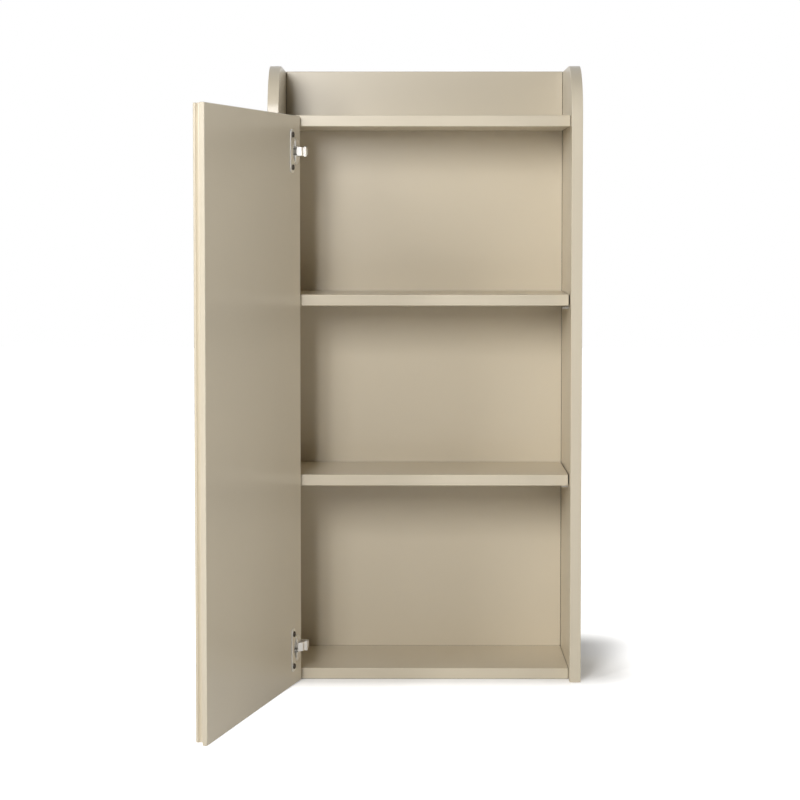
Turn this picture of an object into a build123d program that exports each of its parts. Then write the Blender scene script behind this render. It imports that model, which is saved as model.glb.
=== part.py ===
from build123d import *
import os

# Narrow wall cabinet with an inset door on two small concealed hinges. Lengths are in millimetres.
# X runs to the right, Y into the wall and Z up. The wall is the plane Y = 0.
# Pieces are modelled with Z from the cabinet's underside, and lowered at the end so that
# the origin lies on the wall at the height of the hangers.

# Carcass
width = 350.0
height = 693.0
depth = 160.0
side_board = 12.5
shelf_board = 12.5
back_board = 12.0
ledge_height = 57.0  # sides above the top shelf, also the radius of their front corners
lower_shelf_rise = 220.0  # underside of the lower loose shelf
upper_shelf_rise = 423.0
loose_gap = 1.2  # round a loose shelf, at its ends and behind it
edge_round = 0.8

# Dowels, glued into both boards that they join
dowel_radius = 3.0
dowel_in_side = 8.0
dowel_in_board = 20.0
dowel_inset = 30.0  # outer dowels of a row, from the board's ends
dowel_spare = 1.0  # left at the end of each hole
dowel_ease = 0.6  # chamfer of each end
glue_gap = 0.05
back_dowels = 4  # in each upright edge of the back panel

# Pins under the loose shelves
pin_radius = 2.5
pin_in_side = 9.0
pin_reach = 7.0
pin_inset = 22.0  # from the shelf's front and rear edges
pin_ease = 0.4

# Keyhole hangers, let into the back panel
hanger_drop = 38.0  # from the cabinet's top down to the slots' top ends
hanger_spacing = 250.0
hanger_width = 16.0
hanger_length = 44.0
hanger_plate = 1.5
keyhole_head = 4.6  # radius that a wall screw's head passes
keyhole_slot = 2.3  # radius that holds the screw's shank
keyhole_drop = 9.0  # from the slot's top end down to the head's opening
keyhole_pocket = 7.0  # depth of the room for the screw's head
hanger_screw_gap = 32.0
pilot_radius = 1.0  # of the short screws of the hangers

# Door, in the closed state
door_board = 16.0
hinge_gap = 2.32
free_gap = 1.5
shelf_gap = 2.0  # from the closed door to the shelf fronts
door_below_ledge = 1.5
door_above_bottom = 1.2
door_open = 104.0  # degrees
hinge_outer_round = 3.0
hinge_inner_round = 2.0

# Finger grip along the door's free edge
grip_land = 5.2  # part of the thickness that runs to the full width
grip_lip_back = 11.6
grip_cove_back = 14.0
grip_lip = 2.5
grip_cove_at = 9.4  # deepest point of the cove, from the door's inner face
grip_wall = 10.0  # flat wall of the cove, from the free edge
lip_round = 1.0

# Cup of each hinge, in the door
hinge_inset = 39.5  # hinge centres, from the door's top and bottom edges
cup_radius = 13.0
cup_depth = 12.4
cup_spare = 0.3  # left under the cup in its bore
cup_wall = 0.8
cup_edge = 4.98  # door left beside the cup
cup_slot = 5.0  # half the room between the blocks that hold the outer pins
cup_block_end = 2.0  # past the cup's centre
cup_lug = 1.8  # radius of the two lugs that hold the inner pin
cup_notch = 0.5  # more room in the flange than between the blocks, each way
rivet_grip = 2.2  # length of each outer rivet that is held in its block
flange_thickness = 1.0
flange_rim = 1.5  # rim of the flange round the cup
flange_width = 13.0
flange_length = 48.0
flange_offset = 14.0  # screw line, from the cup's centre
flange_screw_gap = 36.0

# Four-bar linkage, measured in plan from the side panel's face and the closed door's inner face.
# Link pins in the door are measured from its hinge corner. The inner link carries the door.
arm_pin_across = 28.55
arm_pin_front = 3.63
cup_pin_across = 9.38
cup_pin_deep = 7.43
inner_swing = 19.11  # degrees, from open to closed
arm_rivet_across = 28.64
arm_rivet_front = 8.55
cup_rivet_across = 12.20
cup_rivet_deep = 4.32
outer_length = 13.39
outer_heading = -146.27  # degrees, open
outer_slip = 1.42  # travel of the rivet along the slot of the outer link, each way
outer_play = 0.60  # travel of the rivet across the slot, each way

# Links, rivets and arm
rivet_radius = 0.9
running_gap = 0.08
inner_eye = 1.5
outer_eye = 1.9
link_sheet = 1.5
inner_half = 2.4  # half widths, along the pins
arm_half = 3.4
outer_half = 4.8
side_gap = 0.2
inner_knee_share = 0.56  # of the link's length, from the arm
inner_knee_front = 4.20  # bend of the link's neck to its front
web_sheet = 0.5  # web of the outer link, which bows round the inner link
web_front = 2.3  # in front of the arm's rivets
web_bend = 4.5  # first bend, along the link
web_bend_front = 3.1
web_rise = 7.6  # second bend
web_rise_front = 5.2
web_end = 13.5
web_end_front = 5.45
arm_sheet = 0.8
arm_nose = 1.7  # radius of the arm's end round its rivets
arm_front = 2.4  # arm's front, behind the closed door
arm_crank = 7.0  # depth of the cranked part
arm_rise = 7.5  # arm's height over its plate
arm_base_half = 6.0
arm_end = 62.0
arm_base_front = 11.0

# Mounting plate and screws of each hinge
plate_thickness = 3.0
plate_front = 30.0
plate_width = 26.0
plate_length = 50.0
plate_screw_gap = 32.0
screw_radius = 1.6
screw_head = 3.2
screw_head_height = 1.4
wood_screw = 11.0
machine_screw = 9.0
screw_cross = 0.7

# Sizes worked out from the ones above
inner_width = width - 2 * side_board
shelf_setback = door_board + shelf_gap
shelf_front = -depth + shelf_setback
shelf_rear = -back_board
ledge = height - ledge_height
hanger_height = height - hanger_drop
door_width = inner_width - hinge_gap - free_gap
door_low = door_above_bottom
door_high = ledge - door_below_ledge
hinge_heights = {"upper": door_high - hinge_inset, "lower": door_low + hinge_inset}
cup_centre = cup_edge + cup_radius
cheek_inner = arm_half + side_gap
pin_end = arm_half + side_gap / 2
rivet_end = cup_slot + rivet_grip
plate_middle = plate_front + plate_width / 2
arm_screw_places = [plate_front + plate_width / 4, plate_front + plate_width * 3 / 4]
arm_pin = Vector(arm_pin_across, -arm_pin_front)
cup_pin = Vector(cup_pin_across, -cup_pin_deep)
arm_rivet = Vector(arm_rivet_across, -arm_rivet_front)
cup_rivet = Vector(cup_rivet_across, -cup_rivet_deep)

# Place of the open door, worked out from the inner link
open_pin = arm_pin + (Vector(hinge_gap, 0) + cup_pin - arm_pin).rotate(Axis.Z, inner_swing)
door_corner = open_pin - cup_pin.rotate(Axis.Z, -door_open)
hinge_plan = Pos(-inner_width / 2, -depth + door_board, 0)
door_place = hinge_plan * Pos(door_corner.X, door_corner.Y, 0) * Rot(0, 0, -door_open)


def between(low, high):
    """A box between two corners."""
    size = Vector(*high) - Vector(*low)
    middle = (Vector(*high) + Vector(*low)) / 2
    return Pos(middle.X, middle.Y, middle.Z) * Box(size.X, size.Y, size.Z)


def row(count, gap):
    """Evenly spaced places along a line, about its middle."""
    return [(index - (count - 1) / 2) * gap for index in range(count)]


def disc(centre, radius):
    """A round outline in plan."""
    return Pos(centre.X, centre.Y, 0) * Circle(radius)


def bar(start, end, radius):
    """A straight outline with round ends in plan."""
    return make_hull(disc(start, radius).edges() + disc(end, radius).edges())


def upright(outline, low, high):
    """A plan outline raised between two heights."""
    return Pos(0, 0, low) * extrude(outline, high - low)


def cheeks(outline, inner, outer):
    """A plan outline raised twice, above and below the middle."""
    return [upright(outline, inner, outer), upright(outline, -outer, -inner)]


def screw(head_radius, head_height, radius, length):
    """A pan head with a cross, its underside at the origin and its shank down."""
    head = Pos(0, 0, head_height / 2) * Cylinder(head_radius, head_height)
    head = fillet(head.edges().group_by(Axis.Z)[-1], head_height * 0.6)
    recess = Pos(0, 0, head_height) * Box(head_radius * 1.2, screw_cross, head_height)
    tip = length - radius
    shank = Pos(0, 0, -tip / 2) * Cylinder(radius, tip)
    point = Pos(0, 0, -tip - radius / 2) * Cone(radius * 0.2, radius, radius)
    return head + shank + point - recess - Rot(0, 0, 90) * recess


# Dowels, pins and their holes

def shelf_dowel_places(shelf_middle):
    """Places of a fixed shelf's dowels at the right-hand joint."""
    return [
        (inner_width / 2, y, shelf_middle)
        for y in (shelf_front + dowel_inset, shelf_rear - dowel_inset)
    ]


def back_dowel_places():
    """Places of the back panel's dowels at the right-hand joint."""
    gap = (height - 2 * dowel_inset) / (back_dowels - 1)
    return [(inner_width / 2, -back_board / 2, height / 2 + z) for z in row(back_dowels, gap)]


def pin_places(shelf_underside):
    """Places of a loose shelf's pins at the right-hand side."""
    return [
        (inner_width / 2, y, shelf_underside - pin_radius)
        for y in (shelf_front + pin_inset, shelf_rear - loose_gap - pin_inset)
    ]


def rod(place, radius, left, right, ease=0.0):
    """A round rod along X that reaches left and right of its place."""
    bare = Cylinder(radius, left + right)
    if ease:
        bare = chamfer(bare.edges(), ease)
    return Pos(place[0] + (right - left) / 2, place[1], place[2]) * Rot(0, 90, 0) * bare


def both_sides(solids):
    """Solids of the right-hand side with their mirror images."""
    return solids + [mirror(solid, Plane.YZ) for solid in solids]


top_middle = ledge - shelf_board / 2
bottom_middle = shelf_board / 2
dowel_rows = {
    "top_shelf_dowels": shelf_dowel_places(top_middle),
    "bottom_shelf_dowels": shelf_dowel_places(bottom_middle),
    "back_panel_dowels": back_dowel_places(),
}
pin_rows = {
    "upper_shelf_pins": pin_places(upper_shelf_rise),
    "lower_shelf_pins": pin_places(lower_shelf_rise),
}


def dowel_holes(places):
    """Cutters for both boards of a dowelled joint, on both sides."""
    holes = [
        rod(place, dowel_radius + glue_gap, dowel_in_board + dowel_spare, dowel_in_side + dowel_spare)
        for place in places
    ]
    return both_sides(holes)


def dowels(places):
    """The dowels of a joint, on both sides."""
    return both_sides([rod(place, dowel_radius, dowel_in_board, dowel_in_side, dowel_ease) for place in places])


def pins(places):
    """The shelf pins of one loose shelf."""
    return both_sides([rod(place, pin_radius, pin_reach, pin_in_side, pin_ease) for place in places])


# Boards of the carcass

def side_panel():
    """The right side panel, with a round front corner and its holes."""
    front = -depth
    outline = Polyline((0, height), (0, 0), (front, 0), (front, ledge))
    corner = CenterArc((front + ledge_height, ledge), ledge_height, 90, 90)
    top = Line((front + ledge_height, height), (0, height))
    face = Plane.YZ * make_face(Curve() + [outline, corner, top])
    panel = Pos(inner_width / 2, 0, 0) * extrude(face, side_board)
    seen = panel.edges().filter_by(Axis.X, reverse=True).filter_by(lambda edge: edge.center().Y < -edge_round)
    panel = fillet(seen, edge_round)
    for places in dowel_rows.values():
        panel -= [
            rod(place, dowel_radius + glue_gap, dowel_spare, dowel_in_side + dowel_spare) for place in places
        ]
    for places in pin_rows.values():
        panel -= [rod(place, pin_radius + glue_gap, pin_ease, pin_in_side) for place in places]
    return panel


def left_side_panel():
    """The left side panel, drilled for the screws of the mounting plates."""
    panel = mirror(side_panel(), Plane.YZ)
    y = -depth + door_board + plate_middle
    for hinge_height in hinge_heights.values():
        for z in row(2, plate_screw_gap):
            place = (-inner_width / 2, y, hinge_height + z)
            panel -= rod(place, screw_radius + glue_gap, wood_screw - plate_thickness + glue_gap, glue_gap)
    return panel


def shelf(underside, gap):
    """A shelf board with eased front edges, with a gap at its ends and rear."""
    low = (-inner_width / 2 + gap, shelf_front, underside)
    high = (inner_width / 2 - gap, shelf_rear - gap, underside + shelf_board)
    board = between(low, high)
    eased = board.edges().filter_by(Axis.X).group_by(Axis.Y)[0]
    if gap:
        eased = eased + board.edges().filter_by(Axis.Z).group_by(Axis.Y)[0]
    return fillet(eased, edge_round)


def keyhole(slot_radius, head_radius):
    """Outline of a keyhole, with the slot's top end at the origin."""
    head = Vector(0, -keyhole_drop)
    return disc(head, head_radius) + bar(Vector(0, 0), head, slot_radius)


def hanger_outline(extra):
    """Outline of a hanger plate, its slot's top end at the origin."""
    radius = hanger_width / 2 + extra
    reach = hanger_length / 2 - hanger_width / 2
    middle = -keyhole_drop / 2
    return bar(Vector(0, middle + reach), Vector(0, middle - reach), radius)


def at_hangers(solid):
    """Copies of a solid made on the wall plane, one at each hanger."""
    return [Pos(x, 0, hanger_height) * solid for x in row(2, hanger_spacing)]


def back_panel():
    """The back panel, dowelled at its edges and recessed for the hangers."""
    low = (-inner_width / 2, -back_board, 0)
    panel = between(low, (inner_width / 2, 0, height))
    panel = fillet(panel.edges().filter_by(Axis.X).group_by(Axis.Z)[-1], edge_round)
    panel -= dowel_holes(dowel_rows["back_panel_dowels"])
    recess = extrude(Plane.XZ * hanger_outline(glue_gap), hanger_plate)
    room = extrude(Plane.XZ * keyhole(keyhole_head, keyhole_head), keyhole_pocket)
    panel -= at_hangers(recess + room)
    for z in row(2, hanger_screw_gap):
        pilot = Pos(0, 0, z - keyhole_drop / 2) * Rot(90, 0, 0) * Cylinder(pilot_radius, 2 * keyhole_pocket)
        panel -= at_hangers(pilot)
    return panel


def hanger_plates():
    """Two keyhole plates, flush with the back panel's rear."""
    face = hanger_outline(0) - keyhole(keyhole_slot, keyhole_head)
    plate = extrude(Plane.XZ * face, hanger_plate)
    for z in row(2, hanger_screw_gap):
        cone = Cone(screw_radius + glue_gap, hanger_plate + screw_radius + glue_gap, hanger_plate)
        sunk = Pos(0, -hanger_plate / 2, z - keyhole_drop / 2) * Rot(-90, 0, 0) * cone
        plate -= sunk
    return at_hangers(plate)


def hanger_screws():
    """Short countersunk screws of the hanger plates."""
    length = keyhole_pocket - hanger_plate / 3
    head = Pos(0, 0, -hanger_plate / 2) * Cone(screw_radius, hanger_plate + screw_radius, hanger_plate)
    shank = Pos(0, 0, -length / 2) * Cylinder(pilot_radius - glue_gap, length)
    recess = Box(screw_head * 1.2, screw_cross, screw_head_height)
    body = Rot(-90, 0, 0) * (head + shank - recess - Rot(0, 0, 90) * recess)
    solids = []
    for z in row(2, hanger_screw_gap):
        solids += at_hangers(Pos(0, 0, z - keyhole_drop / 2) * body)
    return solids


# Door

def door_outline():
    """Plan of the door, its hinge corner at the origin and its inner face on the X axis."""
    full = door_width
    lip = full - grip_lip_back
    board = make_face(Polyline(
        (0, 0), (full, 0), (full, -grip_land), (lip, -grip_land), (lip, -door_board), (0, -door_board), close=True
    ))
    cove_start = (full - grip_wall, -grip_land)
    cove_end = (lip, grip_lip - door_board)
    cove = ThreePointArc(cove_start, (full - grip_cove_back, -grip_cove_at), cove_end)
    mouth = Polyline(cove_end, (full, cove_end[1]), (full, -grip_land), cove_start)
    return board - make_face(Curve() + [cove, mouth])


def at_corner(solid, x, y):
    """The upright edges of a solid that stand at a place in plan."""
    return solid.edges().filter_by(Axis.Z).filter_by(
        lambda edge: abs(edge.center().X - x) < 0.01 and abs(edge.center().Y - y) < 0.01
    )


def door_panel():
    """The door, closed, in its own frame."""
    panel = upright(door_outline(), door_low, door_high)
    panel = fillet(at_corner(panel, 0, -door_board), hinge_outer_round)
    panel = fillet(at_corner(panel, 0, 0), hinge_inner_round)
    panel = fillet(at_corner(panel, door_width - grip_lip_back, -door_board), lip_round)
    panel = fillet(at_corner(panel, door_width, 0) + at_corner(panel, door_width, -grip_land), lip_round)
    ends = panel.edges().group_by(Axis.Z)
    panel = fillet(ends[0] + ends[-1], edge_round)
    for hinge_height in hinge_heights.values():
        bore = Pos(cup_centre, hinge_height) * Circle(cup_radius + glue_gap)
        panel -= extrude(Plane.XZ * bore, cup_depth + cup_spare)
        for z in row(2, flange_screw_gap):
            place = Pos(cup_centre + flange_offset, hinge_height + z)
            panel -= extrude(Plane.XZ * place * Circle(screw_radius + glue_gap), wood_screw)
    return panel


# Hinge parts. Those in the door are made in the door's frame, the others in plan from the side panel.

def hinge_cup():
    """A round cup with a flange, two blocks and two lugs for the pins."""
    middle = Pos(cup_centre, 0)
    room = middle * Circle(cup_radius - cup_wall)
    block_height = cup_radius - cup_slot
    for side in (1, -1):
        block_z = side * (cup_slot + block_height / 2)
        block = Pos(cup_centre - cup_radius + (cup_radius + cup_block_end) / 2, block_z)
        room -= block * Rectangle(cup_radius + cup_block_end, block_height)
    strip = Pos(cup_centre + flange_offset, 0) * RectangleRounded(flange_width, flange_length, flange_width / 3)
    flange = middle * Circle(cup_radius + flange_rim) + strip - room
    flange -= Pos(cup_edge, 0) * Rectangle(cup_radius, 2 * (cup_slot + cup_notch))
    for z in row(2, flange_screw_gap):
        flange -= Pos(cup_centre + flange_offset, z) * Circle(screw_radius + glue_gap)
    bowl = extrude(Plane.XZ * middle * Circle(cup_radius), cup_depth)
    bowl -= extrude(Plane.XZ * room, cup_depth - cup_wall)
    bowl += extrude(Plane.XZ * flange, -flange_thickness)
    foot = Vector(cup_pin.X, cup_wall - cup_depth)
    lug = bar(cup_pin, foot, cup_lug)
    lug &= Pos(cup_pin.X, 0) * Rectangle(2 * cup_lug, 2 * cup_depth - cup_wall)
    bowl += cheeks(lug, inner_half + side_gap, arm_half)
    bowl -= upright(disc(cup_pin, rivet_radius + glue_gap), -pin_end, pin_end)
    bowl -= upright(disc(cup_rivet, rivet_radius + glue_gap), -rivet_end, rivet_end)
    return bowl


def cup_pins():
    """The pin of the inner link and the two rivets of the outer link, in the cup."""
    pin = upright(disc(cup_pin, rivet_radius), -pin_end, pin_end)
    return [pin] + cheeks(disc(cup_rivet, rivet_radius), cheek_inner - side_gap / 2, rivet_end)


def cup_screws():
    """Two pan head screws through the flange into the door."""
    body = Rot(-90, 0, 0) * screw(screw_head, screw_head_height, screw_radius, wood_screw)
    return [Pos(cup_centre + flange_offset, flange_thickness, z) * body for z in row(2, flange_screw_gap)]


def inner_link():
    """The narrow link that carries the door, one flat cranked bar."""
    along = open_pin - arm_pin
    front = along.rotate(Axis.Z, 90).normalized()
    bend = arm_pin + along * inner_knee_share + front * inner_knee_front
    neck = bar(arm_pin, bend, link_sheet / 2) + bar(bend, open_pin, link_sheet / 2)
    outline = neck + disc(arm_pin, inner_eye) + disc(open_pin, inner_eye)
    for pin in (arm_pin, open_pin):
        outline -= disc(pin, rivet_radius + running_gap)
    return upright(outline, -inner_half, inner_half)


def outer_link():
    """The wide link: two cheeks outside the arm, joined by a web that bows round the inner link."""
    eye = Vector(0, 0)
    end = Vector(outer_length, 0)
    slip = Vector(outer_slip, 0)
    slot_radius = rivet_radius + outer_play + running_gap
    bends = [(0, web_front), (web_bend, web_bend_front), (web_rise, web_rise_front), (web_end, web_end_front)]
    web = Sketch() + [
        bar(Vector(*start), Vector(*stop), web_sheet / 2) for start, stop in zip(bends, bends[1:])
    ]
    outline = make_face(Polyline((0, 0), *bends, (outer_length, 0), close=True)) + web
    outline += disc(eye, outer_eye)
    outline += bar(end - slip, end + slip, slot_radius + cup_wall)
    outline -= disc(eye, rivet_radius + running_gap)
    outline -= bar(end - slip, end + slip, slot_radius)
    link = Part() + cheeks(outline, cheek_inner, outer_half) + upright(web, -outer_half, outer_half)
    return Pos(arm_rivet.X, arm_rivet.Y, 0) * Rot(0, 0, outer_heading) * link


def arm_pins():
    """The pin of the inner link and the two rivets of the outer link, in the arm."""
    pin = upright(disc(arm_pin, rivet_radius), -pin_end, pin_end)
    head_end = outer_half + side_gap + link_sheet / 2
    rivets = []
    for side in (1, -1):
        shank = upright(disc(arm_rivet, rivet_radius), inner_half + side_gap, head_end)
        head = upright(disc(arm_rivet, outer_eye), outer_half + side_gap / 2, head_end)
        rivets.append(shank + head if side > 0 else mirror(shank + head, Plane.XY))
    return [pin] + rivets


def arm():
    """The channel-shaped arm: a base along the side panel, cranked out to the pins."""
    low = plate_thickness
    right = arm_pin.X + inner_eye + side_gap + arm_sheet
    rear = arm_front + arm_crank
    crank = make_face(Polyline((low, arm_front), (right, arm_front), (right, rear), (low, rear), close=True))
    crank = fillet(crank.vertices().group_by(Axis.X)[-1].group_by(Axis.Y)[-1], arm_crank / 2)
    head_edges = disc(arm_pin, right - arm_pin.X).edges() + disc(arm_rivet, arm_nose).edges()
    shoulder = Line((arm_rivet.X - 2 * outer_eye, arm_front), (right, arm_front))
    nose = crank + make_hull(head_edges + shoulder.edges())
    base_top = low + arm_rise
    base = make_face(Polyline(
        (low, arm_base_front), (base_top, arm_base_front), (base_top, arm_end), (low, arm_end), close=True
    ))
    joint = make_face(Polyline(
        (low, arm_front), (base_top, arm_front), (base_top, arm_end), (low, arm_end), close=True
    ))
    shift = Pos(-arm_sheet, -arm_sheet)
    inner = inner_half + side_gap
    body = upright(nose + joint, -arm_half, arm_half)
    body += upright(base, -arm_base_half, arm_base_half)
    body -= upright(shift * (nose + joint), -inner, inner)
    body -= upright(shift * joint, -inner, inner)
    for pin in (arm_pin, arm_rivet):
        body -= upright(disc(pin, rivet_radius + glue_gap), -pin_end, pin_end)
    for y in arm_screw_places:
        hole = Pos(base_top, y, 0) * Rot(0, 90, 0) * Cylinder(screw_radius + glue_gap, 4 * arm_sheet)
        body -= hole
    return body


def arm_screws():
    """The fixing screw and the adjusting screw, through the arm into its plate."""
    body = Rot(0, 90, 0) * screw(screw_head, screw_head_height, screw_radius, machine_screw)
    return [Pos(plate_thickness + arm_rise, y, 0) * body for y in arm_screw_places]


def mounting_plate():
    """The plate between the arm and the side panel, its corners rounded."""
    face = Pos(plate_middle, 0) * RectangleRounded(plate_width, plate_length, plate_width / 4)
    plate = extrude(Plane.YZ * face, plate_thickness)
    plate = fillet(plate.edges().group_by(Axis.X)[-1], plate_thickness / 3)
    for z in row(2, plate_screw_gap):
        plate -= Pos(plate_thickness / 2, plate_middle, z) * Rot(0, 90, 0) * Cylinder(
            screw_radius + glue_gap, 2 * plate_thickness
        )
    for y in arm_screw_places:
        plate -= Pos(plate_thickness / 2, y, 0) * Rot(0, 90, 0) * Cylinder(
            screw_radius + glue_gap, 2 * plate_thickness
        )
    return plate


def plate_screws():
    """Two screws through the plate into the side panel."""
    body = Rot(0, 90, 0) * screw(screw_head, screw_head_height, screw_radius, wood_screw)
    return [Pos(plate_thickness, plate_middle, z) * body for z in row(2, plate_screw_gap)]


in_door = {
    "hinge_cup": hinge_cup(),
    "cup_screws": cup_screws(),
    "cup_pins": cup_pins(),
}
on_side = {
    "inner_link": inner_link(),
    "outer_link": outer_link(),
    "arm_pins": arm_pins(),
    "hinge_arm": arm(),
    "arm_screws": arm_screws(),
    "mounting_plate": mounting_plate(),
    "plate_screws": plate_screws(),
}

# Assembly

pieces = {
    "left_side_panel": left_side_panel(),
    "right_side_panel": side_panel(),
    "back_panel": back_panel(),
    "top_shelf": shelf(ledge - shelf_board, 0) - dowel_holes(dowel_rows["top_shelf_dowels"]),
    "bottom_shelf": shelf(0, 0) - dowel_holes(dowel_rows["bottom_shelf_dowels"]),
    "upper_shelf": shelf(upper_shelf_rise, loose_gap),
    "lower_shelf": shelf(lower_shelf_rise, loose_gap),
    "hanger_plates": hanger_plates(),
    "hanger_screws": hanger_screws(),
    "door_panel": door_place * door_panel(),
}
for name, places in dowel_rows.items():
    pieces[name] = dowels(places)
for name, places in pin_rows.items():
    pieces[name] = pins(places)


def placed(solids, place):
    """A solid or a list of solids, moved to its place."""
    if isinstance(solids, list):
        return [place * solid for solid in solids]
    return place * solids


for side, hinge_height in hinge_heights.items():
    rise = Pos(0, 0, hinge_height)
    for name, solids in in_door.items():
        pieces[side + "_" + name] = placed(solids, door_place * rise)
    for name, solids in on_side.items():
        pieces[side + "_" + name] = placed(solids, hinge_plan * rise)

os.makedirs("parts", exist_ok=True)
to_hangers = Pos(0, 0, -hanger_height)
for name, solids in pieces.items():
    group = solids if isinstance(solids, list) else [solids]
    flat = [to_hangers * solid for piece in group for solid in piece.solids()]
    export_step(Compound(children=flat) if len(flat) > 1 else flat[0], "parts/" + name + ".step")
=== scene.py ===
"""Wall cabinet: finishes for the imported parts, and a plain studio to see them in.

Laid out as a Blender add-on and run as a script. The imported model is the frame, in metres: the origin is on
the wall, X is centred, +Z is up and the cabinet's front faces -Y.
"""

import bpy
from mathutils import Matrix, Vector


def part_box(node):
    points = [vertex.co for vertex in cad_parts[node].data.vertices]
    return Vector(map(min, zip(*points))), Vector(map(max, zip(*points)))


bl_info = {
    "name": "Wall Cabinet",
    "version": (1, 0, 0),
    "blender": (4, 5, 0),
    "location": "View3D > Sidebar > Wall Cabinet",
    "description": "Lacquer, hinge metal and a plain studio for a narrow wall cabinet",
    "category": "Object",
}

import math

import bpy
from mathutils import Vector

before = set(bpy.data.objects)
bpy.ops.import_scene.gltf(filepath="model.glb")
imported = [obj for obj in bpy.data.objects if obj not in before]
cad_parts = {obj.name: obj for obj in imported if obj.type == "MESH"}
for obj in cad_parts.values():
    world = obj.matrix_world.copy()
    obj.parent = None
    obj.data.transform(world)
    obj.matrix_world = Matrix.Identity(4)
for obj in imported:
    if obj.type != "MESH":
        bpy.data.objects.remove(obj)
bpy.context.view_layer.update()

HINGES = ("upper", "lower")
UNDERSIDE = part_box("left_side_panel")[0][2]
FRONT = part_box("left_side_panel")[0][1]


# Node helpers

class NodeTree:
    """Short ways to add nodes to a material's or the world's tree."""

    def __init__(self, tree):
        self.tree = tree

    def add(self, kind, **settings):
        """Adds a node and sets its properties."""
        node = self.tree.nodes.new(kind)
        for name, value in settings.items():
            setattr(node, name, value)
        return node

    def link(self, source, target):
        """Joins an output to an input."""
        self.tree.links.new(source, target)

    def feed(self, source, socket):
        """Gives an input a value: another node's output, a number or a vector."""
        if isinstance(source, bpy.types.NodeSocket):
            self.link(source, socket)
        else:
            socket.default_value = source

    def maths(self, operation, *values):
        """The result of a sum on numbers."""
        node = self.add("ShaderNodeMath", operation=operation)
        for value, socket in zip(values, node.inputs):
            self.feed(value, socket)
        return node.outputs["Value"]

    def between(self, value, low, high, start=0.3, stop=0.7, steps="LINEAR"):
        """Spreads a value from start..stop over low..high. Both of these can be outputs."""
        node = self.add("ShaderNodeMapRange", interpolation_type=steps)
        node.inputs["From Min"].default_value = start
        node.inputs["From Max"].default_value = stop
        self.feed(low, node.inputs["To Min"])
        self.feed(high, node.inputs["To Max"])
        self.link(value, node.inputs["Value"])
        return node.outputs["Result"]


class Surface(NodeTree):
    """A new material with a Principled shader."""

    def __init__(self, name, colour, roughness, metallic=0.0):
        self.material = bpy.data.materials.new(name)
        self.material.use_nodes = True
        self.material.diffuse_color = (*colour, 1)
        super().__init__(self.material.node_tree)
        self.shader = self.tree.nodes["Principled BSDF"]
        self.shader.inputs["Base Color"].default_value = (*colour, 1)
        self.shader.inputs["Roughness"].default_value = roughness
        self.shader.inputs["Metallic"].default_value = metallic
        self.place = self.add("ShaderNodeTexCoord").outputs["Object"]

    def drive(self, **values):
        """Joins outputs to the shader's inputs: colour, roughness or metallic."""
        names = {"colour": "Base Color", "roughness": "Roughness", "metallic": "Metallic"}
        for name, value in values.items():
            self.link(value, self.shader.inputs[names[name]])

    def stretched(self, stretch):
        """The surface's place, stretched by a factor along each axis."""
        node = self.add("ShaderNodeMapping")
        node.inputs["Scale"].default_value = stretch
        self.link(self.place, node.inputs["Vector"])
        return node.outputs["Vector"]

    def noise(self, scale, detail=2.0, place=None):
        """A noise of so many features a metre."""
        node = self.add("ShaderNodeTexNoise")
        node.inputs["Scale"].default_value = scale
        node.inputs["Detail"].default_value = detail
        self.link(place or self.place, node.inputs["Vector"])
        return node.outputs["Fac"]

    def mixed(self, factor, first, second):
        """A colour from first to second. Each is a colour or an output."""
        node = self.add("ShaderNodeMix", data_type="RGBA")
        self.link(factor, node.inputs["Factor"])
        for colour, socket in ((first, node.inputs["A"]), (second, node.inputs["B"])):
            output = isinstance(colour, bpy.types.NodeSocket)
            self.feed(colour if output else (*colour, 1), socket)
        return node.outputs["Result"]

    def edges(self, radius, softest=0.995, sharpest=0.9):
        """0 on flat places and 1 along outer and inner edges."""
        rounded = self.add("ShaderNodeBevel", samples=6)
        rounded.inputs["Radius"].default_value = radius
        facing = self.add("ShaderNodeVectorMath", operation="DOT_PRODUCT")
        self.link(rounded.outputs["Normal"], facing.inputs[0])
        self.link(self.add("ShaderNodeNewGeometry").outputs["Normal"], facing.inputs[1])
        return self.between(facing.outputs["Value"], 0, 1, softest, sharpest)

    def occlusion_shade_mask(self, width, closed, clear):
        """1 in joints and recesses narrower than the width, and 0 in the open, found by ambient occlusion: a
        mask for painted shade.
        """
        room = self.add("ShaderNodeAmbientOcclusion", samples=16)
        room.inputs["Distance"].default_value = width
        return self.between(room.outputs["AO"], 1, 0, closed, clear)

    def bumped(self, *layers):
        """Raises the surface by layers of (height, distance in metres), one over another."""
        normal = None
        for height, distance in layers:
            bump = self.add("ShaderNodeBump")
            bump.inputs["Distance"].default_value = distance
            self.link(height, bump.inputs["Height"])
            if normal:
                self.link(normal, bump.inputs["Normal"])
            normal = bump.outputs["Normal"]
        self.link(normal, self.shader.inputs["Normal"])


def tinted(colour, factor):
    """A colour made lighter or darker."""
    return tuple(min(part * factor, 1) for part in colour)


# Finishes

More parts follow.
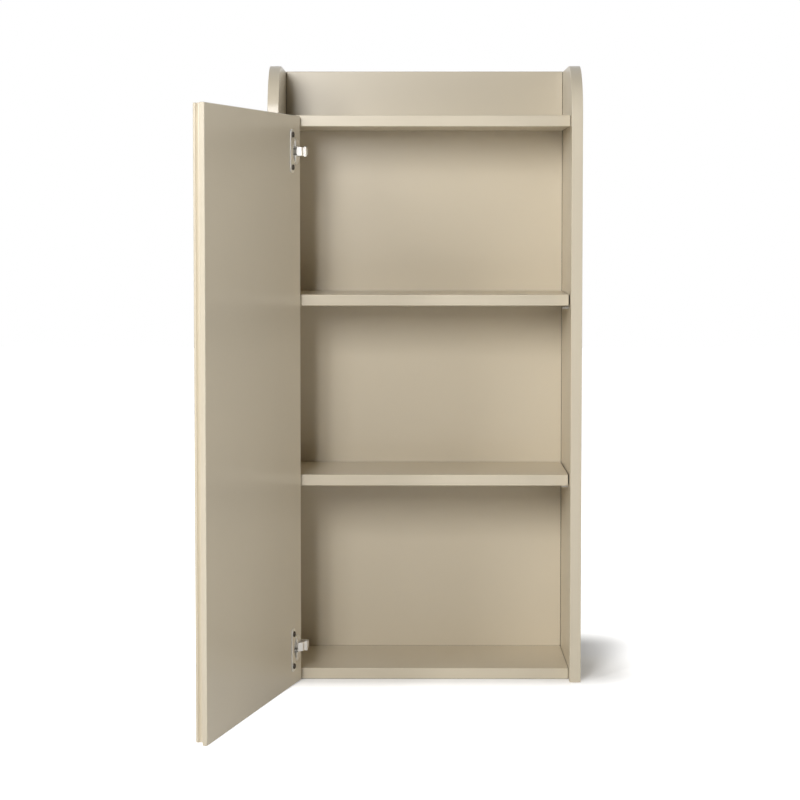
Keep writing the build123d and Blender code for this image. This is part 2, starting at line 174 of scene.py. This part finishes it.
def satin_lacquer(finish):
    """Sprayed satin lacquer: faint orange peel and long soft waves, with a painted highlight along the edges,
    in patches, and painted shade in the joints.
    """
    surface = Surface("cream_lacquer", finish.lacquer, finish.lacquer_roughness)
    drift = surface.between(surface.noise(5), 0, 1)
    body = surface.mixed(drift, tinted(finish.lacquer, 0.985), tinted(finish.lacquer, 1.015))
    # Painted highlight: paler patches along the edges, standing in for light caught by their rounding.
    patches = surface.between(surface.noise(45), 0.1, 0.4)
    painted_edge_highlight = surface.maths("MULTIPLY", surface.edges(finish.edge_highlight_width), patches)
    edge_highlighted_body = surface.mixed(painted_edge_highlight, body, tinted(finish.lacquer, 1.12))
    # Painted shade: joints and inner corners darkened where ambient occlusion finds them closed in.
    joint_shade = surface.occlusion_shade_mask(finish.seam, 0.42, 0.52)
    gloss = finish.lacquer_roughness
    surface.drive(
        colour=surface.mixed(joint_shade, edge_highlighted_body, tinted(finish.lacquer, 0.25)),
        roughness=surface.between(surface.noise(160, 2), gloss - 0.005, gloss + 0.005),
    )
    waves = surface.noise(10, 1, surface.stretched((1, 1, 0.3)))
    surface.bumped((waves, finish.board_wave), (surface.noise(700), finish.orange_peel))
    return surface.material


def nickel_plate(finish, cups_and_plates=False):
    """Bright nickel on pressed steel: fine grain along the sheet, cloudy gloss and paler edges. On the cups
    and plates the edges are a wider painted highlight and the recesses get painted shade.
    """
    name = "oiled_nickel" if cups_and_plates else "nickel"
    gloss = finish.nickel_roughness * (0.75 if cups_and_plates else 1)
    surface = Surface(name, finish.nickel, gloss, metallic=1.0)
    clouds = surface.between(surface.noise(260, 4), 0, 1)
    body = surface.mixed(clouds, tinted(finish.nickel, 0.93), tinted(finish.nickel, 1.04))
    # Paler edges; on the cups and plates a wider band, less metallic there, is a painted highlight along the
    # flange edge.
    rims = surface.edges(0.0012 if cups_and_plates else 0.0003)
    detailed_colour = surface.mixed(rims, body, tinted(finish.nickel, 1.15))
    if cups_and_plates:
        # Painted shade: the recesses of the cups and plates darkened where ambient occlusion finds them
        # closed in.
        detailed_colour = surface.mixed(surface.occlusion_shade_mask(0.006, 0.1, 0.4), detailed_colour, tinted(finish.nickel, 0.2))
        surface.drive(metallic=surface.between(rims, 1, 0.2, 0, 1))
    surface.drive(
        colour=detailed_colour, roughness=surface.between(surface.noise(500, 4), gloss - 0.06, gloss + 0.1)
    )
    grain = surface.noise(90, 3, surface.stretched((1, 1, 40)))
    surface.bumped((grain, 0.000012), (surface.noise(1600), 0.000008))
    return surface.material


def shaded_recess_nickel_plate(finish):
    """The same nickel on the cups and mounting plates, with painted shade in their recesses and a painted
    highlight along their edges.
    """
    return nickel_plate(finish, cups_and_plates=True)


def zinc_plate(finish):
    """Zinc-plated steel of the screws and hangers: duller, with a faint crystal pattern."""
    surface = Surface("zinc_steel", finish.zinc, 0.36, metallic=1.0)
    crystals = surface.add("ShaderNodeTexVoronoi")
    crystals.inputs["Scale"].default_value = 900
    surface.link(surface.place, crystals.inputs["Vector"])
    spangle = surface.between(crystals.outputs["Distance"], 0, 1, 0.1, 0.8)
    body = surface.mixed(spangle, tinted(finish.zinc, 0.88), tinted(finish.zinc, 1.06))
    detailed_colour = surface.mixed(surface.edges(0.00025), body, tinted(finish.zinc, 1.2))
    surface.drive(colour=detailed_colour, roughness=surface.between(surface.noise(700, 4), 0.28, 0.46))
    surface.bumped((surface.noise(1300, 3), 0.00001))
    return surface.material


def blackened_steel(finish):
    """Dark oiled screws of the hinge cups, with paler worn rims."""
    surface = Surface("dark_steel", finish.dark_steel, 0.4, metallic=1.0)
    blotches = surface.between(surface.noise(800, 3), 0, 1)
    body = surface.mixed(blotches, tinted(finish.dark_steel, 0.8), tinted(finish.dark_steel, 1.25))
    detailed_colour = surface.mixed(surface.edges(0.0002), body, tinted(finish.dark_steel, 2))
    surface.drive(colour=detailed_colour, roughness=surface.between(surface.noise(900, 3), 0.34, 0.5))
    surface.bumped((surface.noise(1500, 3), 0.00001))
    return surface.material


def turned_steel(finish):
    """Turned steel of the pins: fine rings round the pin and a plain bright colour."""
    surface = Surface("steel_pin", finish.steel, 0.3, metallic=1.0)
    rings = surface.noise(300, 2, surface.stretched((12, 1, 1)))
    body = surface.mixed(
        surface.between(rings, 0, 1), tinted(finish.steel, 0.9), tinted(finish.steel, 1.06)
    )
    surface.drive(colour=body, roughness=surface.between(surface.noise(900, 3), 0.22, 0.38))
    surface.bumped((rings, 0.00001))
    return surface.material


def beech_wood(finish):
    """Beech of the dowels: long grain with short darker flecks."""
    surface = Surface("beech", finish.beech, 0.6)
    along = surface.stretched((0.12, 1, 1))
    grain = surface.between(surface.noise(700, 5, along), 0, 1, 0.35, 0.65)
    flecks = surface.between(surface.noise(1500, 2, along), 0, 0.6, 0.62, 0.75)
    body = surface.mixed(grain, tinted(finish.beech, 0.82), tinted(finish.beech, 1.08))
    flecked = surface.mixed(flecks, body, tinted(finish.beech, 0.5))
    surface.drive(colour=flecked, roughness=surface.between(grain, 0.5, 0.7, 0, 1))
    surface.bumped((grain, 0.00005))
    return surface.material


def finished(material_name, maker):
    """The material of that name, made the first time it is asked for."""
    made = bpy.data.materials.get("made_" + material_name)
    if not made:
        made = maker(bpy.context.scene.cabinet_finish)
        made.name = "made_" + material_name
    return made


def dress(material, *names):
    """Gives CAD parts one finish in all their slots."""
    for name in names:
        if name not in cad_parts:
            raise RuntimeError(f"the packed model has no part named {name}")
        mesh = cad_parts[name].data
        mesh.materials.clear()
        mesh.materials.append(material)


def soften(width, *names):
    """Rounds the sharp edges of CAD parts a little, as lacquer or pressing leaves them."""
    for name in names:
        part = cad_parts[name]
        part.modifiers.new("weld", "WELD").merge_threshold = 0.000001
        plain = part.modifiers.new("whole faces", "DECIMATE")
        plain.decimate_type = "DISSOLVE"
        plain.angle_limit = math.radians(0.5)
        rounded = part.modifiers.new("rounded edges", "BEVEL")
        rounded.width = width
        rounded.segments = 2
        rounded.limit_method = "ANGLE"
        rounded.angle_limit = math.radians(50)
        rounded.use_clamp_overlap = False


# Sizes and colours that a user would change

class CabinetFinish(bpy.types.PropertyGroup):
    """Colours and surface detail of the cabinet."""

    lacquer: bpy.props.FloatVectorProperty(
        name="Lacquer",
        description="Colour of the lacquered boards",
        default=(0.68, 0.605, 0.47),
        subtype="COLOR",
        min=0,
        max=1,
    )
    lacquer_roughness: bpy.props.FloatProperty(
        name="Lacquer roughness",
        description="0 is a mirror and 1 is chalk",
        default=0.28,
        subtype="FACTOR",
        min=0.1,
        max=1,
    )
    orange_peel: bpy.props.FloatProperty(
        name="Orange peel",
        description="Height of the sprayed lacquer's fine grain",
        default=0.000002,
        unit="LENGTH",
        precision=6,
        min=0,
    )
    board_wave: bpy.props.FloatProperty(
        name="Board wave",
        description="Height of the long soft waves in the boards",
        default=0.00001,
        unit="LENGTH",
        precision=6,
        min=0,
    )
    # Painted highlight: the paler line along the edges stands in for light caught by their rounding.
    edge_highlight_width: bpy.props.FloatProperty(
        name="Edge rub",
        description="Width of the slightly paler line that handling leaves along the edges",
        default=0.0009,
        unit="LENGTH",
        precision=5,
        min=0,
    )
    # Painted shade: the dark line in the joints is shade painted where ambient occlusion finds them closed
    # in.
    seam: bpy.props.FloatProperty(
        name="Joint line",
        description="Width of the fine dark line where two boards meet",
        default=0.002,
        unit="LENGTH",
        precision=5,
        min=0,
    )
    nickel: bpy.props.FloatVectorProperty(
        name="Nickel",
        description="Colour of the hinges' plating",
        default=(0.92, 0.90, 0.86),
        subtype="COLOR",
        min=0,
        max=1,
    )
    nickel_roughness: bpy.props.FloatProperty(
        name="Nickel roughness",
        description="0 is a mirror and 1 is chalk",
        default=0.44,
        subtype="FACTOR",
        min=0.08,
        max=1,
    )
    zinc: bpy.props.FloatVectorProperty(
        name="Zinc",
        description="Colour of the screws and the hanger plates",
        default=(0.56, 0.56, 0.55),
        subtype="COLOR",
        min=0,
        max=1,
    )
    dark_steel: bpy.props.FloatVectorProperty(
        name="Dark steel",
        description="Colour of the screws that hold the hinge cups",
        default=(0.09, 0.08, 0.07),
        subtype="COLOR",
        min=0,
        max=1,
    )
    steel: bpy.props.FloatVectorProperty(
        name="Steel",
        description="Colour of the shelf pins and hinge pins",
        default=(0.62, 0.60, 0.57),
        subtype="COLOR",
        min=0,
        max=1,
    )
    beech: bpy.props.FloatVectorProperty(
        name="Beech",
        description="Colour of the dowels",
        default=(0.55, 0.36, 0.19),
        subtype="COLOR",
        min=0,
        max=1,
    )


class CabinetStudio(bpy.types.PropertyGroup):
    """Camera, lamps and floor."""

    distance: bpy.props.FloatProperty(
        name="Camera distance",
        description="From the cabinet's front to the camera",
        default=2.421,
        unit="LENGTH",
        min=1,
    )
    eye_height: bpy.props.FloatProperty(
        name="Camera height",
        description="From the floor to the camera",
        default=0.5247,
        unit="LENGTH",
        min=0,
    )
    lens: bpy.props.FloatProperty(
        name="Lens",
        description="Focal length in millimetres on a 36 mm wide frame",
        default=97.9,
        min=20,
    )
    key_power: bpy.props.FloatProperty(
        name="Key lamp",
        description="Power of the upright lamp in front of the cabinet, a little to the left",
        default=25,
        unit="POWER",
        min=0,
    )
    left_power: bpy.props.FloatProperty(
        name="Left lamp",
        description="Power of the lamp further to the left, which reaches in past the open door",
        default=8,
        unit="POWER",
        min=0,
    )
    right_power: bpy.props.FloatProperty(
        name="Right lamp",
        description="Power of the lamp on the right, which lights the door's inner face",
        default=8,
        unit="POWER",
        min=0,
    )
    ambient: bpy.props.FloatProperty(
        name="Room light",
        description="Strength of the even light from all round, at the height of the horizon",
        default=0.02,
        min=0,
    )
    overhead: bpy.props.FloatProperty(
        name="Overhead light",
        description="Strength of the even light from straight above",
        default=0.04,
        min=0,
    )
    behind: bpy.props.FloatProperty(
        name="Light from behind",
        description="Strength of the light behind the wall, mostly a low band, for the back and sides",
        default=3,
        min=0,
    )
    mirrored: bpy.props.FloatProperty(
        name="Mirrored light",
        description="Strength of the white room that glossy surfaces mirror",
        default=0.25,
        min=0,
    )
    shadow_reach: bpy.props.FloatProperty(
        name="Shadow reach",
        description="How far round the cabinet the camera sees its shadow before the floor turns white",
        default=0.13,
        unit="LENGTH",
        min=0,
    )
    floor_glow: bpy.props.FloatProperty(
        name="Floor whiteness",
        description="How much white the camera adds to the floor beside the cabinet",
        default=0.02,
        min=0,
        max=1,
    )
    floor: bpy.props.FloatVectorProperty(
        name="Floor",
        description="Colour of the floor",
        default=(0.95, 0.95, 0.95),
        subtype="COLOR",
        min=0,
        max=1,
    )


# The cabinet's parts

class CABINET_OT_carcass(bpy.types.Operator):
    """Finish the fixed boards of the cabinet"""

    bl_idname = "cabinet.carcass"
    bl_label = "Carcass"

    def execute(self, context):
        boards = ("left_side_panel", "right_side_panel", "back_panel", "top_shelf", "bottom_shelf")
        dress(finished("cream_lacquer", satin_lacquer), *boards)
        soften(0.0006, "back_panel")
        soften(0.001, "top_shelf", "bottom_shelf")
        return {"FINISHED"}


class CABINET_OT_loose_shelves(bpy.types.Operator):
    """Finish the two loose shelves and the pins that carry them"""

    bl_idname = "cabinet.loose_shelves"
    bl_label = "Loose shelves"

    def execute(self, context):
        dress(finished("cream_lacquer", satin_lacquer), "upper_shelf", "lower_shelf")
        dress(finished("steel_pin", turned_steel), "upper_shelf_pins", "lower_shelf_pins")
        return {"FINISHED"}


class CABINET_OT_door(bpy.types.Operator):
    """Finish the door with its finger grip"""

    bl_idname = "cabinet.door"
    bl_label = "Door"

    def execute(self, context):
        dress(finished("cream_lacquer", satin_lacquer), "door_panel")
        return {"FINISHED"}


class CABINET_OT_hinges(bpy.types.Operator):
    """Finish the cups, links, arms and plates of both hinges"""

    bl_idname = "cabinet.hinges"
    bl_label = "Hinges"

    def execute(self, context):
        for hinge in HINGES:
            bright = (f"{hinge}_{part}" for part in ("inner_link", "outer_link", "hinge_arm"))
            dress(finished("nickel", nickel_plate), *bright)
            recessed = (f"{hinge}_{part}" for part in ("hinge_cup", "mounting_plate"))
            # The cups and plates get painted shade in their recesses and a painted highlight along their
            # edges.
            dress(finished("oiled_nickel", shaded_recess_nickel_plate), *recessed)
            soften(0.00045, f"{hinge}_hinge_cup")
            pins = (f"{hinge}_cup_pins", f"{hinge}_arm_pins")
            dress(finished("steel_pin", turned_steel), *pins)
        return {"FINISHED"}


class CABINET_OT_fixings(bpy.types.Operator):
    """Finish the screws, hanger plates and dowels"""

    bl_idname = "cabinet.fixings"
    bl_label = "Fixings"

    def execute(self, context):
        zinc = finished("zinc_steel", zinc_plate)
        dress(zinc, "hanger_plates", "hanger_screws")
        for hinge in HINGES:
            dress(zinc, *(f"{hinge}_{place}_screws" for place in ("arm", "plate")))
            dress(finished("dark_steel", blackened_steel), f"{hinge}_cup_screws")
        dowels = ("top_shelf_dowels", "bottom_shelf_dowels", "back_panel_dowels")
        dress(finished("beech", beech_wood), *dowels)
        return {"FINISHED"}


# The studio

CAMERA_SIDE = -0.017
CAMERA_TILT = math.radians(90 - 3.08)
CAMERA_TURN = math.radians(0.26)
CAMERA_SHIFT = -0.085
AIM_HEIGHT = 0.35  # of the place that the lamps face, above the floor
LAMP_HEIGHT = 0.75
LAMPS = {  # place, with its height above the floor, and width
    "key": ((-0.49, -2.16, 1.05), 0.45),
    "left": ((-1.1, -1.75, 1.1), 0.2),
    "right": ((2.1, -0.75, 0.58), 0.4),
}
FLOOR_HALF = 6.0
FLOOR_DROP = 0.0001  # keeps the floor clear of the cabinet's underside
SHADOW_SETBACK = 0.05  # keeps the floor white in front of the cabinet
HIGH_SHARE = 0.1  # strength of the light from high behind, as a share of the low band's


def add_camera(studio):
    """Puts the camera in front of the cabinet, near its centre line, tilted down a little."""
    data = bpy.data.cameras.new("camera")
    data.lens = studio.lens
    data.sensor_width = 36
    data.shift_y = CAMERA_SHIFT
    camera = bpy.data.objects.new("camera", data)
    camera.location = (CAMERA_SIDE, FRONT - studio.distance, UNDERSIDE + studio.eye_height)
    camera.rotation_euler = (CAMERA_TILT, 0, CAMERA_TURN)
    bpy.context.scene.collection.objects.link(camera)
    bpy.context.scene.camera = camera


def add_lamp(name, place, width, power):
    """Adds an upright soft box, turned to the cabinet. Its height is given above the floor."""
    data = bpy.data.lights.new(name, "AREA")
    data.shape = "RECTANGLE"
    data.size = width
    data.size_y = LAMP_HEIGHT
    data.energy = power
    lamp = bpy.data.objects.new(name, data)
    lamp.location = (place[0], place[1], UNDERSIDE + place[2])
    middle = Vector((0, FRONT / 2, UNDERSIDE + AIM_HEIGHT))
    lamp.rotation_euler = (middle - lamp.location).to_track_quat("-Z", "Y").to_euler()
    bpy.context.scene.collection.objects.link(lamp)


def add_floor(studio):
    """Lays a pale floor under the cabinet. Far from it the camera sees the floor as plain white."""
    half = FLOOR_HALF
    level = UNDERSIDE - FLOOR_DROP
    mesh = bpy.data.meshes.new("floor")
    corners = [(-half, -half, level), (half, -half, level), (half, half, level), (-half, half, level)]
    mesh.from_pydata(corners, [], [(0, 1, 2, 3)])
    floor = bpy.data.objects.new("floor", mesh)
    bpy.context.scene.collection.objects.link(floor)
    mesh.materials.append(floor_paint(studio))


def floor_paint(studio):
    """Matt pale floor paint with a fine roller grain. The camera sees it as white away from the cabinet."""
    surface = Surface("floor_paint", studio.floor, 0.9)
    surface.bumped((surface.noise(400), 0.00005))
    surface.shader.inputs["Specular IOR Level"].default_value = 0.0
    seen = surface.add("ShaderNodeLightPath").outputs["Is Camera Ray"]
    surface.drive(colour=surface.mixed(seen, studio.floor, (1, 1, 1)))
    away = distance_from_cabinet(surface)
    white = surface.between(away, studio.floor_glow, 1, 0, studio.shadow_reach, "SMOOTHSTEP")
    glow = surface.add("ShaderNodeEmission")
    surface.link(surface.maths("MULTIPLY", seen, white), glow.inputs["Strength"])
    both = surface.add("ShaderNodeAddShader")
    surface.link(surface.shader.outputs["BSDF"], both.inputs[0])
    surface.link(glow.outputs["Emission"], both.inputs[1])
    surface.link(both.outputs["Shader"], surface.tree.nodes["Material Output"].inputs["Surface"])
    return surface.material


def distance_from_cabinet(surface):
    """How far a place on the floor is from the cabinet's footprint, moved back a little."""
    half_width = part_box("right_side_panel")[1][0]
    place = surface.add("ShaderNodeNewGeometry").outputs["Position"]
    for operation, value in (
        ("SUBTRACT", (0, FRONT / 2 + SHADOW_SETBACK, UNDERSIDE)),
        ("ABSOLUTE", (0, 0, 0)),
        ("SUBTRACT", (half_width, -FRONT / 2, 0)),
        ("MAXIMUM", (0, 0, 0)),
    ):
        step = surface.add("ShaderNodeVectorMath", operation=operation)
        surface.link(place, step.inputs[0])
        step.inputs[1].default_value = value
        place = step.outputs["Vector"]
    length = surface.add("ShaderNodeVectorMath", operation="LENGTH")
    surface.link(place, length.inputs[0])
    return length.outputs["Value"]


def light_world(studio):
    """Weak even light from all round and stronger light from behind. The camera sees it as white."""
    world = bpy.data.worlds.new("studio")
    world.use_nodes = True
    bpy.context.scene.world = world
    nodes = NodeTree(world.node_tree)
    background = world.node_tree.nodes["Background"]
    background.inputs["Color"].default_value = (1, 1, 1, 1)
    direction = nodes.add("ShaderNodeSeparateXYZ")
    nodes.link(nodes.add("ShaderNodeTexCoord").outputs["Generated"], direction.inputs["Vector"])
    depth, height = direction.outputs["Y"], direction.outputs["Z"]
    even = nodes.between(height, studio.ambient, studio.overhead, 0.1, 0.8)
    behind = nodes.between(depth, 0, studio.behind, 0.05, 0.35)
    low_band = nodes.between(height, 1, HIGH_SHARE, 0.12, 0.3)
    strength = nodes.maths("MULTIPLY_ADD", behind, low_band, even)
    mirrored = nodes.between(depth, studio.mirrored, 1, 0, 0.35)
    rays = nodes.add("ShaderNodeLightPath").outputs
    for ray, seen in (("Is Glossy Ray", mirrored), ("Is Transmission Ray", 1), ("Is Camera Ray", 1)):
        strength = nodes.between(rays[ray], strength, seen, 0, 1)
    nodes.link(strength, background.inputs["Strength"])


class CABINET_OT_studio(bpy.types.Operator):
    """Add the camera, the lamps, the floor and the even light"""

    bl_idname = "cabinet.studio"
    bl_label = "Studio"

    def execute(self, context):
        studio = context.scene.cabinet_studio
        add_camera(studio)
        for name, (place, width) in LAMPS.items():
            add_lamp(f"{name}_lamp", place, width, getattr(studio, f"{name}_power"))
        add_floor(studio)
        light_world(studio)
        context.scene.view_settings.view_transform = "Standard"
        return {"FINISHED"}


class CABINET_PT_sidebar(bpy.types.Panel):
    """Lists the cabinet's operators, colours and sizes"""

    bl_idname = "CABINET_PT_sidebar"
    bl_label = "Wall Cabinet"
    bl_space_type = "VIEW_3D"
    bl_region_type = "UI"
    bl_category = "Wall Cabinet"

    def draw(self, context):
        layout = self.layout
        for step in STEPS:
            layout.operator(step.bl_idname)
        for group in (context.scene.cabinet_finish, context.scene.cabinet_studio):
            for name in group.bl_rna.properties.keys():
                if name not in ("rna_type", "name"):
                    layout.prop(group, name)


STEPS = (
    CABINET_OT_studio,
    CABINET_OT_carcass,
    CABINET_OT_loose_shelves,
    CABINET_OT_door,
    CABINET_OT_hinges,
    CABINET_OT_fixings,
)
CLASSES = (CabinetFinish, CabinetStudio, *STEPS, CABINET_PT_sidebar)


def register():
    for each in CLASSES:
        bpy.utils.register_class(each)
    bpy.types.Scene.cabinet_finish = bpy.props.PointerProperty(type=CabinetFinish)
    bpy.types.Scene.cabinet_studio = bpy.props.PointerProperty(type=CabinetStudio)


def unregister():
    del bpy.types.Scene.cabinet_finish
    del bpy.types.Scene.cabinet_studio
    for each in reversed(CLASSES):
        bpy.utils.unregister_class(each)


def main():
    """Registers the add-on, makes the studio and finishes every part."""
    register()
    for step in STEPS:
        group, name = step.bl_idname.split(".")
        getattr(getattr(bpy.ops, group), name)()


if __name__ == "__main__":
    main()
